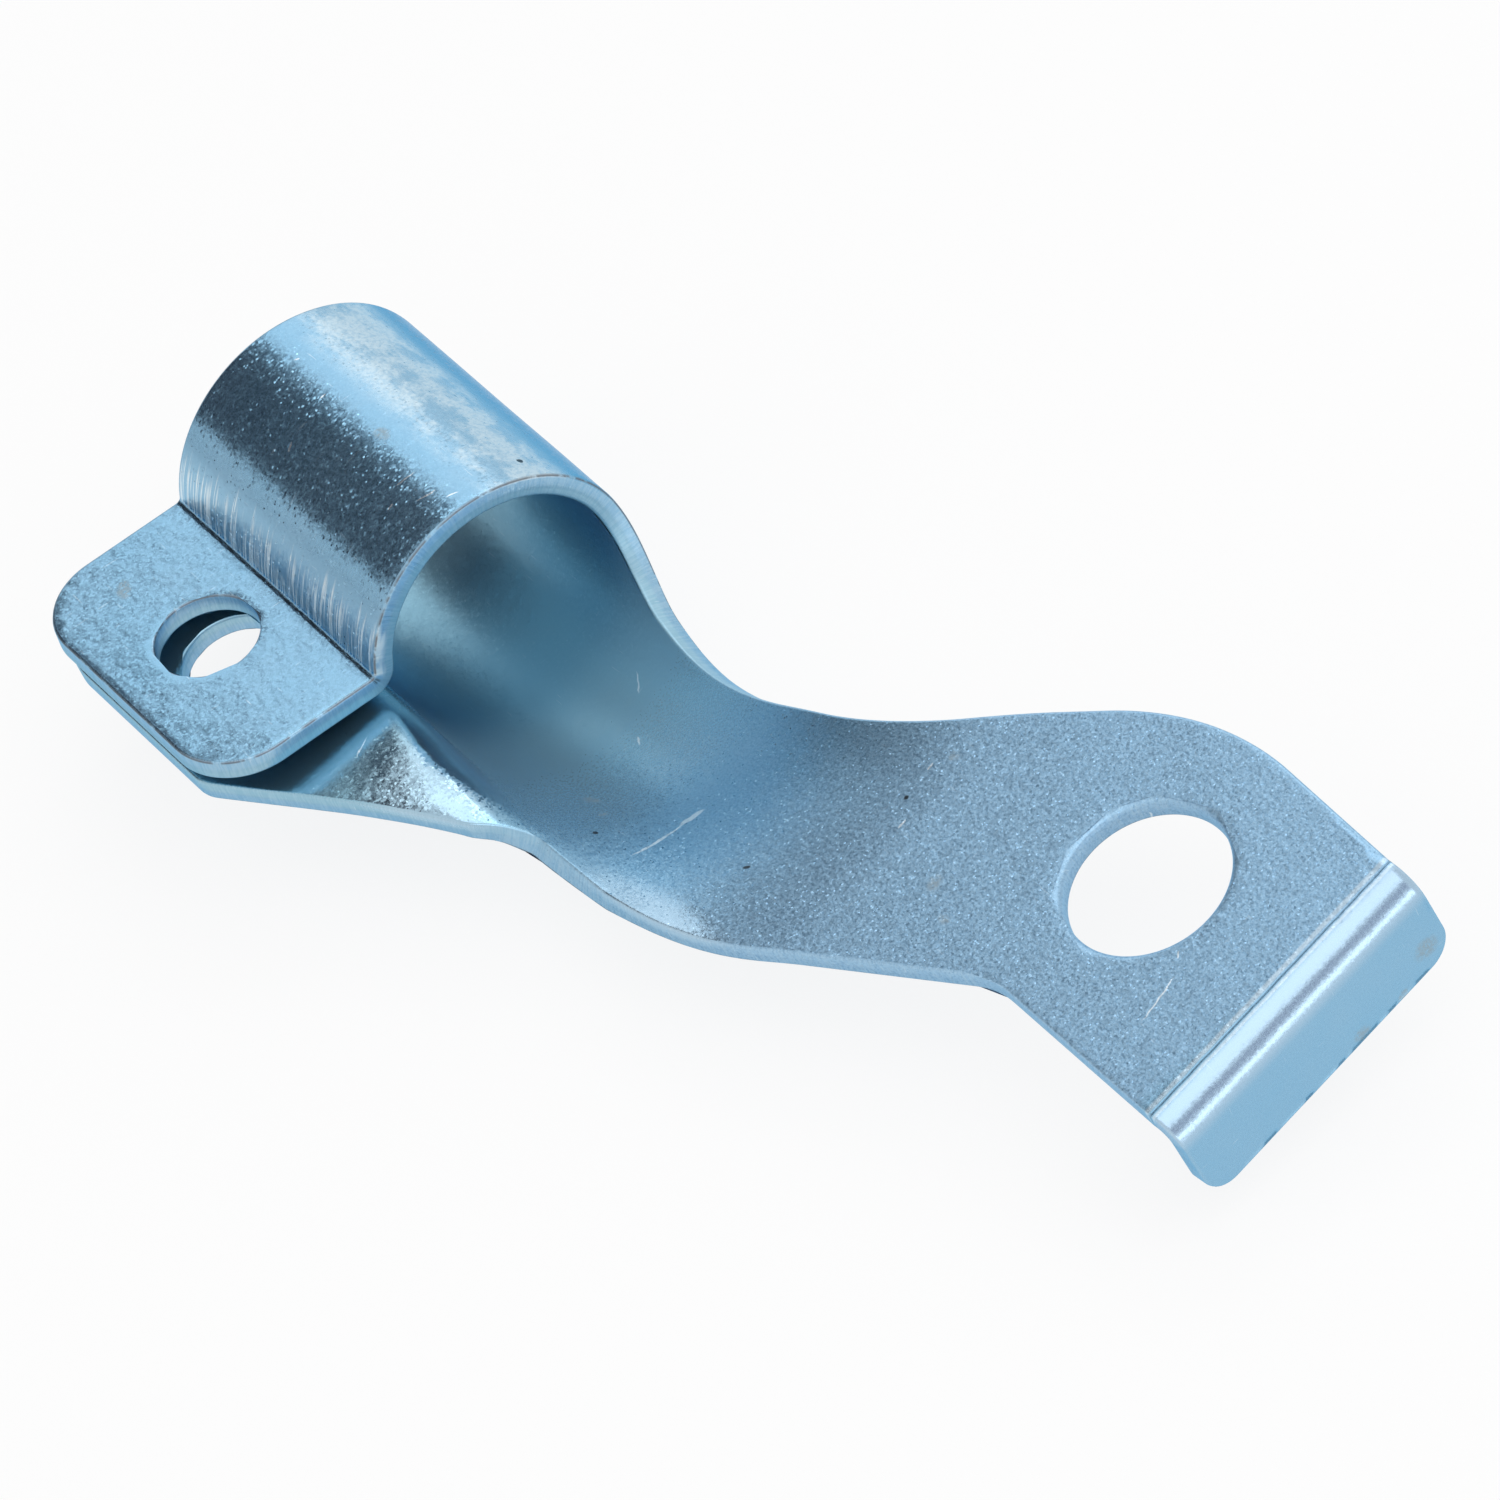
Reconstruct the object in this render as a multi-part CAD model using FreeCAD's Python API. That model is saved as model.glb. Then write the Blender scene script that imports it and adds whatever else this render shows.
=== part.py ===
import FreeCAD, Part
import math
import os

# Brake hose clamp: one strip of zinc plated sheet steel, cut to an outline and folded.
# The band closes round the hose between two tabs with a bolt hole each. The lower sheet
# runs on forwards: the round of the band flattens out, twists a little and ends in a
# mounting arm with a large hole and a lip that is bent down.
#
# Millimetres. X runs along the hose towards the arm, Y away from the tabs, Z up, square to
# the upper tab. It is drawn from the back end of that tab's fold line, and at the end it is
# moved so that the origin is the middle of the pad's hole on the pad's top face.

# Sheet and band
sheet = 1.5
hose_bore = 17.0
band_width = 23.5
tab_gap = 0.7

# Upper tab, measured from the fold line
tab_length = 12.5
tab_corner = 5.0
tab_fold = 0.4
bolt_hole = 7.0
bolt_inset = 5.5

# Lower tab, sprung open by a few degrees
lower_length = 11.5
lower_corner = 5.0
lower_fold = 0.5
lower_spring = 5.2
lower_bolt_inset = 4.6
lower_bolt_ahead = 0.35

# Gusset: the slanted front edge that leads from the lower tab to the arm
gusset_setback = 4.4
gusset_angle = 31.5
gusset_corner = 2.7
gusset_end = 1.1
gusset_bend = 3.0
arm_root_reach = 15.6
arm_root_rise = 2.7
arm_root_corner = 0.9

# Flare and neck, measured in the unrolled sheet from the band's front and its lowest line
flare_height = 11.0
flare_radius = 7.8
throat_reach = 12.4
throat_side = 7.0
throat_radius = 26.0
neck_left_reach = 28.5
neck_left = 10.1
neck_left_radius = 33.0
neck_right_reach = 27.6
neck_right = 9.8
neck_right_radius = 22.0

# Flat of the arm
flatten_length = 36.3
arm_twist = 10.2
arm_below_axis = 1.0
arm_shift = 1.7

# Pad at the end of the arm
pad_hole = 11.0
pad_hole_reach = 51.0
pad_hole_side = 12.5
pad_width = 21.8
pad_taper = 1.8
left_shoulder_back = 2.4
left_shoulder_radius = 6.0
right_shoulder_back = 6.2
right_shoulder_radius = 20.0

# Lip bent down at the end of the pad
lip_distance = 12.6
lip_skew = 5.3
lip_fold = 0.9
lip_drop = 7.6
lip_corner = 2.0


def vec(x, y, z):
    return FreeCAD.Vector(x, y, z)


def polar(centre, radius, angle):
    # A point round an axis that runs along X
    return vec(0, centre.y + radius * math.cos(angle), centre.z + radius * math.sin(angle))


def arc(centre, radius, start, end):
    middle = (start + end) / 2
    return Part.Arc(polar(centre, radius, start), polar(centre, radius, middle),
                    polar(centre, radius, end)).toShape()


def frame(across, up, normal, origin):
    # Places a flat plan: its x, y and z run along the three directions given
    return FreeCAD.Matrix(across.x, up.x, normal.x, origin.x,
                          across.y, up.y, normal.y, origin.y,
                          across.z, up.z, normal.z, origin.z,
                          0, 0, 0, 1)


def rounded_outline(corners):
    # Closed outline through corners (x, y, radius), each rounded by a tangent arc
    edges = []
    ends = []
    count = len(corners)
    for i in range(count):
        x, y, radius = corners[i]
        here = vec(x, y, 0)
        back = vec(corners[i - 1][0], corners[i - 1][1], 0) - here
        ahead = vec(corners[(i + 1) % count][0], corners[(i + 1) % count][1], 0) - here
        back.normalize()
        ahead.normalize()
        if radius == 0:
            ends.append((here, here))
            continue
        half = back.getAngle(ahead) / 2
        inward = back + ahead
        inward.normalize()
        first = here + back * (radius / math.tan(half))
        last = here + ahead * (radius / math.tan(half))
        middle = here + inward * (radius / math.sin(half) - radius)
        edges.append(Part.Arc(first, middle, last).toShape())
        ends.append((first, last))
    for i in range(count):
        edges.append(Part.makeLine(ends[i][1], ends[(i + 1) % count][0]))
    return Part.Wire(Part.sortEdges(edges)[0])


# Bore axis: level with the middle of the gap, with the band's outside through the fold line
x_dir = vec(1, 0, 0)
bore_radius = hose_bore / 2
band_radius = bore_radius + sheet
axis_z = -(sheet + tab_gap / 2)
axis_y = math.sqrt(band_radius ** 2 - axis_z ** 2)
axis = vec(0, axis_y, axis_z)

# Fold of the upper tab: a tight round between the tab's top and the band's outside
tab_round = tab_fold + sheet
upper_reach = band_radius + tab_fold
upper_fold = vec(0, axis_y - math.sqrt(upper_reach ** 2 - (tab_fold - axis_z) ** 2), tab_fold)
upper_turn = math.atan2(upper_fold.z - axis_z, upper_fold.y - axis_y)

# Fold of the lower tab: its round lies on the top face and runs into the bore
spring = math.radians(lower_spring)
lower_round = lower_fold + sheet
tab_dir = vec(0, math.cos(spring), math.sin(spring))
tab_up = vec(0, -math.sin(spring), math.cos(spring))
tab_root = vec(0, 0, -sheet - tab_gap)
offset = tab_root - tab_up * lower_round - axis
along = offset.dot(tab_dir)
run = -along - math.sqrt(along ** 2 - offset.dot(offset) + (bore_radius + lower_round) ** 2)
lower_fold_centre = axis + offset + tab_dir * run
fold_start = math.pi / 2 + spring
fold_end = math.atan2(axis_z - lower_fold_centre.z, axis_y - lower_fold_centre.y)
lower_turn = fold_end - math.pi
fold_line = lower_fold_centre + tab_up * lower_round

# Lengths along the unrolled section, from the lowest line of the bore
s_touch = bore_radius * (lower_turn + math.pi / 2)
s_fold = s_touch - lower_round * (fold_start - fold_end)
s_edge = s_fold - lower_length
s_top = flare_height + flare_radius

# Band and both tabs: one section drawn along the hose
lower_edge = fold_line - tab_dir * lower_length
band_section = Part.Wire([
    Part.makeLine(vec(0, -tab_length, 0), polar(upper_fold, tab_fold, -math.pi / 2)),
    arc(upper_fold, tab_fold, -math.pi / 2, upper_turn - math.pi),
    arc(axis, band_radius, upper_turn, lower_turn),
    arc(lower_fold_centre, lower_fold, fold_end, fold_start),
    Part.makeLine(fold_line - tab_up * sheet, lower_edge - tab_up * sheet),
    Part.makeLine(lower_edge - tab_up * sheet, lower_edge),
    Part.makeLine(lower_edge, fold_line),
    arc(lower_fold_centre, lower_round, fold_start, fold_end),
    arc(axis, bore_radius, lower_turn, upper_turn),
    arc(upper_fold, tab_round, upper_turn - math.pi, -math.pi / 2),
    Part.makeLine(polar(upper_fold, tab_round, -math.pi / 2), vec(0, -tab_length, -sheet)),
    Part.makeLine(vec(0, -tab_length, -sheet), vec(0, -tab_length, 0)),
])
band = Part.Face(band_section).extrude(x_dir * band_width)

# In front, the formed sheet takes the place of the band's lower half
lap = sheet
lap_x = band_width - lap
join_angle = s_top / bore_radius - math.pi / 2
far = 2 * band_radius + tab_length
lower_half = Part.Face(Part.makePolygon([
    axis + x_dir * lap_x,
    polar(axis, far, join_angle) + x_dir * lap_x,
    axis + vec(lap_x, far, -far),
    axis + vec(lap_x, -far, -far),
    axis + vec(lap_x, -far, 0),
    axis + x_dir * lap_x,
]))
band = band.cut(lower_half.extrude(x_dir * far))

# The arm's flat: a plane twisted about X that passes a little under the bore's axis
twist = math.radians(arm_twist)
arm_dir = vec(0, math.cos(twist), math.sin(twist))
arm_up = vec(0, -math.sin(twist), math.cos(twist))
flat_origin = axis + vec(0, arm_shift, arm_shift * math.tan(twist) - arm_below_axis)
flat_start = band_width + flatten_length

# Outline of the unrolled sheet in front of and under the band: the lower tab, the gusset, the
# arm's left side, the end of the pad, the arm's right side and the flare up to the band's front
hole_x = band_width + pad_hole_reach
lip_x = hole_x + lip_distance
taper = math.tan(math.radians(pad_taper))
skew = math.tan(math.radians(lip_skew))


def pad_side(x, sign):
    # The left side runs straight on; the right side closes in towards the lip
    closing = (x - hole_x) * taper if sign > 0 else 0
    return pad_hole_side + sign * (pad_width / 2 - closing)


def lip_end(sign):
    # Where a side of the pad meets the slanted start of the lip's bend
    slope = taper if sign > 0 else 0
    half = (pad_width / 2 - lip_distance * slope) / (1 - sign * skew * slope)
    return vec(lip_x - sign * half * skew, pad_hole_side + sign * half, 0)


gusset_s = s_fold - gusset_end
gusset_x = band_width - gusset_setback + (gusset_s - s_edge) / math.tan(math.radians(gusset_angle))
left_shoulder = hole_x - left_shoulder_back
right_shoulder = hole_x - right_shoulder_back
left_end = lip_end(-1)
right_end = lip_end(1)
blank = Part.Face(rounded_outline([
    (0, s_top, 0),
    (0, s_edge, lower_corner),
    (band_width - gusset_setback, s_edge, gusset_corner),
    (gusset_x, gusset_s, gusset_bend),
    (band_width + arm_root_reach, s_fold + arm_root_rise, arm_root_corner),
    (band_width + neck_left_reach, -neck_left, neck_left_radius),
    (left_shoulder, pad_side(left_shoulder, -1), left_shoulder_radius),
    (left_end.x, left_end.y, 0),
    (right_end.x, right_end.y, 0),
    (right_shoulder, pad_side(right_shoulder, 1), right_shoulder_radius),
    (band_width + neck_right_reach, neck_right, neck_right_radius),
    (band_width + throat_reach, throat_side, throat_radius),
    (band_width, flare_height, flare_radius),
    (band_width, s_top, 0),
]))


def strip(x_start, x_end, y_start, y_end):
    return Part.makePlane(x_end - x_start, y_end - y_start, vec(x_start, y_start, 0))


blank_low = s_edge - sheet
blank_high = s_top + pad_width + pad_hole_side
lip_limit = lip_x + pad_width
formed_blank = blank.common(strip(lap_x, flat_start, blank_low, blank_high)).Faces[0]
flat_blank = blank.common(strip(flat_start, lip_limit, blank_low, blank_high)).Faces[0]

# Rounded corners of the two tabs
upper_plan = Part.Face(rounded_outline([
    (0, -tab_length, tab_corner),
    (band_width, -tab_length, tab_corner),
    (band_width, 0, 0),
    (0, 0, 0),
]))
upper_waste = strip(0, band_width, -tab_length, -tab_length / 2).cut(upper_plan)
upper_waste = upper_waste.extrude(vec(0, 0, sheet + tab_gap / 2))
upper_waste.translate(vec(0, 0, -sheet - tab_gap / 4))
lower_waste = strip(0, band_width, s_edge, s_fold).cut(blank).extrude(vec(0, 0, -sheet - tab_gap))
lower_waste.translate(vec(0, 0, tab_gap / 2))
lower_waste = lower_waste.transformGeometry(frame(x_dir, tab_dir, tab_up, fold_line - tab_dir * s_fold))
band = band.cut([upper_waste, lower_waste])


def band_point(s):
    # Point and upward normal of the band's inner and lower tab's top face
    if s >= s_touch:
        a = s / bore_radius - math.pi / 2
        return polar(axis, bore_radius, a), vec(0, -math.cos(a), -math.sin(a))
    if s >= s_fold:
        a = fold_end + (s_touch - s) / lower_round
        return polar(lower_fold_centre, lower_round, a), vec(0, math.cos(a), math.sin(a))
    return fold_line + tab_dir * (s - s_fold), tab_up


def flat_point(x, s):
    return flat_origin + x_dir * x + arm_dir * s


def formed_point(x, s):
    # Passes smoothly from the band's round to the arm's flat; the bottom face lies one sheet
    # thickness below, square to the top face
    start, start_up = band_point(s)
    start_dir = vec(0, start_up.z, -start_up.y)
    rise = flat_point(0, s) - start
    q = max(0, x - band_width) / flatten_length
    share = q * q * (3 - 2 * q)
    slope = 6 * q * (1 - q) / flatten_length
    top = start + x_dir * x + rise * share
    across = start_dir + (arm_dir - start_dir) * share
    up = (x_dir + rise * slope).cross(across)
    up.normalize()
    return top, top - up * sheet


def spread(a, b, count):
    return [a + (b - a) * i / count for i in range(count)]


# Places along the section where the formed faces are held to the formula
s_list = spread(blank_low, s_fold - lower_round, 4)
s_list += spread(s_fold - lower_round, s_fold, 10)
s_list += spread(s_fold, s_touch, 14)
s_list += spread(s_touch, s_touch + lower_round, 10)
s_list += spread(s_touch + lower_round, s_top, 14)
s_list += spread(s_top, s_top + bore_radius, 5)


def section_at(x, side):
    curve = Part.BSplineCurve()
    curve.interpolate(Points=[formed_point(x, s)[side] for s in s_list], Parameters=s_list)
    return curve


def moved(poles, x):
    return [vec(x, p.y, p.z) for p in poles]


def surface_through(rows, x_knots, x_mults, section):
    surface = Part.BSplineSurface()
    surface.buildFromPolesMultsKnots(rows, x_mults, section.getMultiplicities(), x_knots,
                                     section.getKnots(), False, False, 3, 3)
    return surface


# Top face: an S-shaped passage along X from the band's section to the flat
band_curve = section_at(band_width, 0)
flat_curve = section_at(flat_start, 0)
lap_places = [lap_x, lap_x + lap / 3, lap_x + lap * 2 / 3]
top_rows = [moved(band_curve.getPoles(), x) for x in lap_places]
top_rows += [
    moved(band_curve.getPoles(), band_width + flatten_length / 3),
    moved(flat_curve.getPoles(), band_width + flatten_length * 2 / 3),
    moved(flat_curve.getPoles(), flat_start),
]
top_surface = surface_through(top_rows, [lap_x, band_width, flat_start], [4, 2, 4], band_curve)

# Bottom face: through sections one sheet thickness below
station_count = 12
stations = spread(band_width, flat_start, station_count) + [flat_start]
sections = [section_at(x, 1) for x in stations]
section_poles = [section.getPoles() for section in sections]
lines = []
for j in range(len(section_poles[0])):
    line = Part.BSplineCurve()
    line.interpolate(Points=[poles[j] for poles in section_poles], Parameters=stations,
                     InitialTangent=x_dir, FinalTangent=x_dir, Scale=False)
    lines.append(line.getPoles())
bottom_rows = [moved(section_poles[0], x) for x in lap_places]
bottom_rows += [[line[i] for line in lines] for i in range(1, len(lines[0]))]
bottom_mults = [4, 2] + [1] * (station_count - 1) + [4]
bottom_surface = surface_through(bottom_rows, [lap_x] + stations, bottom_mults, sections[0])


def laid_on(edge, surface):
    # An edge of the flat blank laid on a formed face
    ends = [edge.FirstParameter, edge.LastParameter]
    if edge.Orientation == "Reversed":
        ends.reverse()
    places = [ends[0], (ends[0] + ends[1]) / 2, ends[1]]
    flat = [FreeCAD.Base.Vector2d(p.x, p.y) for p in map(edge.valueAt, places)]
    if isinstance(edge.Curve, Part.Line):
        return Part.Geom2d.Line2dSegment(flat[0], flat[2]).toShape(surface)
    return Part.Geom2d.ArcOfCircle2d(flat[0], flat[1], flat[2]).toShape(surface)


def edge_face(edge, top_edge, bottom_edge):
    # The sheared edge between both faces; across the sheet it is flat
    if edge.BoundBox.XLength > sheet / 1000:
        return Part.makeRuledSurface(top_edge, bottom_edge)
    starts = [e.valueAt(e.FirstParameter) for e in (top_edge, bottom_edge)]
    ends = [e.valueAt(e.LastParameter) for e in (top_edge, bottom_edge)]
    sides = [Part.makeLine(starts[0], starts[1]), Part.makeLine(ends[0], ends[1])]
    return Part.Face(Part.Wire(Part.sortEdges([top_edge, bottom_edge] + sides)[0]))


blank_edges = formed_blank.OuterWire.OrderedEdges
top_edges = [laid_on(edge, top_surface) for edge in blank_edges]
bottom_edges = [laid_on(edge, bottom_surface) for edge in blank_edges]
formed_faces = [edge_face(*three) for three in zip(blank_edges, top_edges, bottom_edges)]
formed_faces.append(Part.Face(top_surface, Part.Wire(Part.sortEdges(top_edges)[0])))
formed_faces.append(Part.Face(bottom_surface, Part.Wire(Part.sortEdges(bottom_edges)[0])))
formed_skin = Part.Compound(formed_faces)
formed_skin.sewShape(sheet / 300)
formed_arm = Part.Solid(formed_skin.Shells[0])

# Flat of the arm and its pad
flat_frame = frame(x_dir, arm_dir, arm_up, flat_origin)
flat_arm = flat_blank.transformGeometry(flat_frame).extrude(arm_up * -sheet)

# Lip: a quarter round and a short straight, square across the slanted bend line
lip_start = flat_point(left_end.x, left_end.y)
lip_axis = flat_point(right_end.x, right_end.y) - lip_start
lip_width = lip_axis.Length
lip_axis.normalize()
lip_out = lip_axis.cross(arm_up)
lip_round = lip_fold + sheet
diagonal = math.sqrt(0.5)


def lip_point(out, down):
    return lip_start + lip_out * out - arm_up * down


def lip_arc(radius):
    return Part.Arc(lip_point(0, lip_round - radius),
                    lip_point(radius * diagonal, lip_round - radius * diagonal),
                    lip_point(radius, lip_round)).toShape()


lip_section = Part.Wire([
    lip_arc(lip_round),
    Part.makeLine(lip_point(lip_round, lip_round), lip_point(lip_round, lip_drop)),
    Part.makeLine(lip_point(lip_round, lip_drop), lip_point(lip_fold, lip_drop)),
    Part.makeLine(lip_point(lip_fold, lip_drop), lip_point(lip_fold, lip_round)),
    lip_arc(lip_fold),
    Part.makeLine(lip_point(0, sheet), lip_point(0, 0)),
])
lip = Part.Face(lip_section).extrude(lip_axis * lip_width)
lip_plan = Part.Face(rounded_outline([
    (0, 0, 0),
    (0, -lip_drop, lip_corner),
    (lip_width, -lip_drop, lip_corner),
    (lip_width, 0, 0),
]))
lip_waste = strip(0, lip_width, -lip_drop, -lip_round).cut(lip_plan)
lip_waste = lip_waste.transformGeometry(frame(lip_axis, arm_up, lip_out, lip_start))
lip = lip.cut(lip_waste.extrude(lip_out * (lip_round + sheet)))

# The bolt holes through both tabs and the large hole through the pad
bolt_x = band_width / 2
lower_bolt = tab_root + x_dir * (bolt_x + lower_bolt_ahead) - tab_dir * lower_bolt_inset
pad_centre = flat_point(hole_x, pad_hole_side)
upper_hole = Part.makeCylinder(bolt_hole / 2, 2 * sheet, vec(bolt_x, -bolt_inset, -1.2 * sheet))
lower_hole = Part.makeCylinder(bolt_hole / 2, 1.5 * sheet, lower_bolt - tab_up * (1.3 * sheet), tab_up)
large_hole = Part.makeCylinder(pad_hole / 2, 2 * sheet, pad_centre - arm_up * (1.5 * sheet), arm_up)

# One piece
clamp = band.fuse([formed_arm, flat_arm, lip], sheet / 1000)
clamp = clamp.cut([upper_hole, lower_hole, large_hole])
hose_clamp = clamp.removeSplitter().Solids[0]
hose_clamp.translate(pad_centre * -1)

os.makedirs("parts", exist_ok=True)
hose_clamp.exportStep("parts/hose_clamp.step")
print("solids", len(clamp.Solids), "valid", hose_clamp.isValid(), "faces", len(hose_clamp.Faces))
print("volume", round(hose_clamp.Volume, 1), "area", round(hose_clamp.Area, 1))
print("middle of the bore", axis + x_dir * bolt_x - pad_centre, "radius", bore_radius)
print("upper bolt hole", vec(bolt_x, -bolt_inset, 0) - pad_centre)
print("lower bolt hole", lower_bolt - pad_centre, "direction", tab_up)
print("pad hole direction", arm_up)
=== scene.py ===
import math

import bpy
from mathutils import Matrix, Vector, noise
from mathutils.geometry import delaunay_2d_cdt


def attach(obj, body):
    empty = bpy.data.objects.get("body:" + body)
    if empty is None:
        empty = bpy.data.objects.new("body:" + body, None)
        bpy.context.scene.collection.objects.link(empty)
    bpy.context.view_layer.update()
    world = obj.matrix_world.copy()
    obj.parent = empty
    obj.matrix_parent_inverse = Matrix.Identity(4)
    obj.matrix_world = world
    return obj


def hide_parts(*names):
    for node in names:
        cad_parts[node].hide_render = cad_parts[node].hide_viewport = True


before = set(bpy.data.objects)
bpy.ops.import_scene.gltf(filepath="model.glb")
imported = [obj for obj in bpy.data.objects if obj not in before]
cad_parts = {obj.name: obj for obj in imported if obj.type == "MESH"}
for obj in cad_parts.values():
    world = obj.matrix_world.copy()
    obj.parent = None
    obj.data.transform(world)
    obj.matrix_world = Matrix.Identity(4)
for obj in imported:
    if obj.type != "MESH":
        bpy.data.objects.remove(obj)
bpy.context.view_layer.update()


# The photographer's stand: a long lens in front of the arm, high over its left side, with the
# camera rolled a little. The clamp fills the frame from corner to corner.
eye = bpy.data.cameras.new("eye")
eye.sensor_width = 36.0
eye.lens = 242.39
eye.clip_start = 0.05
eye.clip_end = 20.0
stand = bpy.data.objects.new("stand", eye)
stand.location = (0.386269, -0.174717, 0.443793)
stand.rotation_euler = [math.radians(turn) for turn in (43.4026, 13.6421, 54.3695)]
bpy.context.scene.collection.objects.link(stand)
bpy.context.scene.camera = stand


# The flat blank: one strip of 1.5 mm steel sheet, sheared to its outline and punched three times
# before it is folded. Millimetres; x runs along the hose, s across the strip from the lowest
# line of the round, up to the upper tab's free edge on one side and the lower tab's on the other.
thick = 1.5
bore = 8.5
band = 23.5
# The corner of the upper fold is y 0 and z 0; y runs from there over the round, z up
axis_z = -1.85
axis_y = math.sqrt((bore + thick) ** 2 - axis_z ** 2)

# Upper fold, between the tab and the outside of the round
upper_tab = 12.5
upper_inner = 0.4
upper_outer = upper_inner + thick
upper_y = axis_y - math.sqrt((bore + thick + upper_inner) ** 2 - (upper_inner - axis_z) ** 2)
upper_turn = math.atan2(upper_inner - axis_z, upper_y - axis_y)
s_arch = bore * (upper_turn + math.pi / 2)
s_crease = s_arch + upper_outer * (upper_turn - math.pi / 2)
s_upper_end = s_crease + upper_tab + upper_y

# Lower fold, whose round lies on the lower tab's top face and runs into the bore. The tab is
# sprung open from a narrow gap under the upper one.
lower_tab = 11.5
lower_outer = 2.0
lower_face = -(thick + 0.7)
spring = math.radians(5.2)
root_y = math.sin(spring) * lower_outer
root_z = lower_face - math.cos(spring) * lower_outer
reach_y, reach_z = root_y - axis_y, root_z - axis_z
along = reach_y * math.cos(spring) + reach_z * math.sin(spring)
run = -along - math.sqrt(along ** 2 - reach_y ** 2 - reach_z ** 2 + (bore + lower_outer) ** 2)
lower_y = root_y + run * math.cos(spring)
lower_z = root_z + run * math.sin(spring)
lower_start = math.pi / 2 + spring
lower_end = math.atan2(axis_z - lower_z, axis_y - lower_y)
s_touch = bore * (lower_end - math.pi / 2)
s_fold = s_touch - lower_outer * (lower_start - lower_end)
s_lower_end = s_fold - lower_tab

# Arm, pad and lip
flatten = 36.3
flat_x = band + flatten
pad_x = band + 51.0
pad_s = 12.5
pad_half = 10.9
pad_to_lip = 12.6
taper = math.tan(math.radians(1.8))
skew = math.tan(math.radians(5.3))
lip_x = pad_x + pad_to_lip
lip_outer = 2.4
lip_depth = 7.6
lip_quarter = lip_outer * math.pi / 2
lip_length = lip_quarter + lip_depth - lip_outer


def pad_edge(x, side):
    # The left side runs straight on; the right side closes in towards the lip
    return pad_s + side * pad_half - (x - pad_x) * taper * (side > 0)


def bend_end(side):
    # The bend line of the lip, a little off square, meets the pad's edge here
    slope = taper * (side > 0)
    half = (pad_half - pad_to_lip * slope) / (1 - side * skew * slope)
    return Vector((lip_x - side * half * skew, pad_s + side * half))


bend_left = bend_end(-1)
bend_right = bend_end(1)
bend_line = (bend_right - bend_left).normalized()
bend_out = Vector((bend_line.y, -bend_line.x))


def rounded(corners):
    # Points round the outline, each corner (place, radius) rounded by an arc that touches
    # both sides, with the outward direction at each point
    cuts = []
    for i, (here, radius) in enumerate(corners):
        back = (corners[i - 1][0] - here).normalized()
        ahead = (corners[(i + 1) % len(corners)][0] - here).normalized()
        half = back.angle(ahead) / 2
        turn = back.x * ahead.y - back.y * ahead.x
        length = radius / math.tan(half)
        first = here + back * length
        middle = here + (back + ahead).normalized() * (radius / math.sin(half))
        sweep = math.pi - 2 * half
        steps = max(2, math.ceil(sweep * radius / 0.28), math.ceil(sweep / 0.14))
        bend = []
        for j in range(steps + 1):
            spoke = (first - middle).normalized()
            angle = -math.copysign(sweep * j / steps, turn)
            spoke = Vector((spoke.x * math.cos(angle) - spoke.y * math.sin(angle),
                            spoke.x * math.sin(angle) + spoke.y * math.cos(angle)))
            bend.append((middle + spoke * radius, spoke if turn < 0 else -spoke))
        cuts.append(bend)
    loop = []
    for i, bend in enumerate(cuts):
        loop += bend
        start, end = bend[-1][0], cuts[(i + 1) % len(cuts)][0][0]
        side = end - start
        count = max(1, round(side.length / 0.42))
        outward = Vector((side.y, -side.x)).normalized()
        loop += [(start + side * (j / count), outward) for j in range(1, count)]
    return loop


def punched(x, s, radius):
    # A punched hole, walked the other way round; outward from the steel is into the hole
    count = math.ceil(2 * math.pi * radius / 0.34)
    loop = []
    for i in range(count):
        angle = -2 * math.pi * i / count
        spoke = Vector((math.cos(angle), math.sin(angle)))
        loop.append((Vector((x, s)) + spoke * radius, -spoke))
    return loop


# The gusset is sheared off aslant, from the lower tab's front corner to the arm
gusset_start = band - 4.4
gusset_s = s_fold - 1.1
gusset_x = gusset_start + (gusset_s - s_lower_end) / math.tan(math.radians(31.5))
outline = rounded([
    (Vector((0, s_upper_end)), 5.0),
    (Vector((0, s_lower_end)), 5.0),
    (Vector((gusset_start, s_lower_end)), 2.7),
    (Vector((gusset_x, gusset_s)), 3.0),
    (Vector((band + 15.6, s_fold + 2.7)), 0.9),
    (Vector((band + 28.5, -10.1)), 33.0),
    (Vector((pad_x - 2.4, pad_edge(pad_x - 2.4, -1))), 6.0),
    (bend_left, 0.6),
    (bend_left + bend_out * lip_length, 2.0),
    (bend_right + bend_out * lip_length, 2.0),
    (bend_right, 0.6),
    (Vector((pad_x - 6.2, pad_edge(pad_x - 6.2, 1))), 20.0),
    (Vector((band + 27.6, 9.8)), 22.0),
    (Vector((band + 12.4, 7.0)), 26.0),
    (Vector((band, 11.0)), 7.8),
    (Vector((band, s_upper_end)), 5.0),
])

# The bolt holes, each at its distance from the upper fold's corner, and the pad's hole
upper_bolt = 5.5
lower_bolt = 4.6
bolt_radius = 3.5
lower_bolt_y = -lower_bolt * math.cos(spring)
lower_bolt_z = lower_face - lower_bolt * math.sin(spring)
fold_y = lower_y - math.sin(spring) * lower_outer
fold_z = lower_z + math.cos(spring) * lower_outer
lower_bolt_s = s_fold + (lower_bolt_y - fold_y) * math.cos(spring) \
    + (lower_bolt_z - fold_z) * math.sin(spring)
upper_bolt_s = s_crease + upper_bolt + upper_y
pad_hole_radius = 5.5
holes = [
    (band / 2, upper_bolt_s, bolt_radius),
    (band / 2 + 0.35, lower_bolt_s, bolt_radius),
    (pad_x, pad_s, pad_hole_radius),
]


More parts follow.
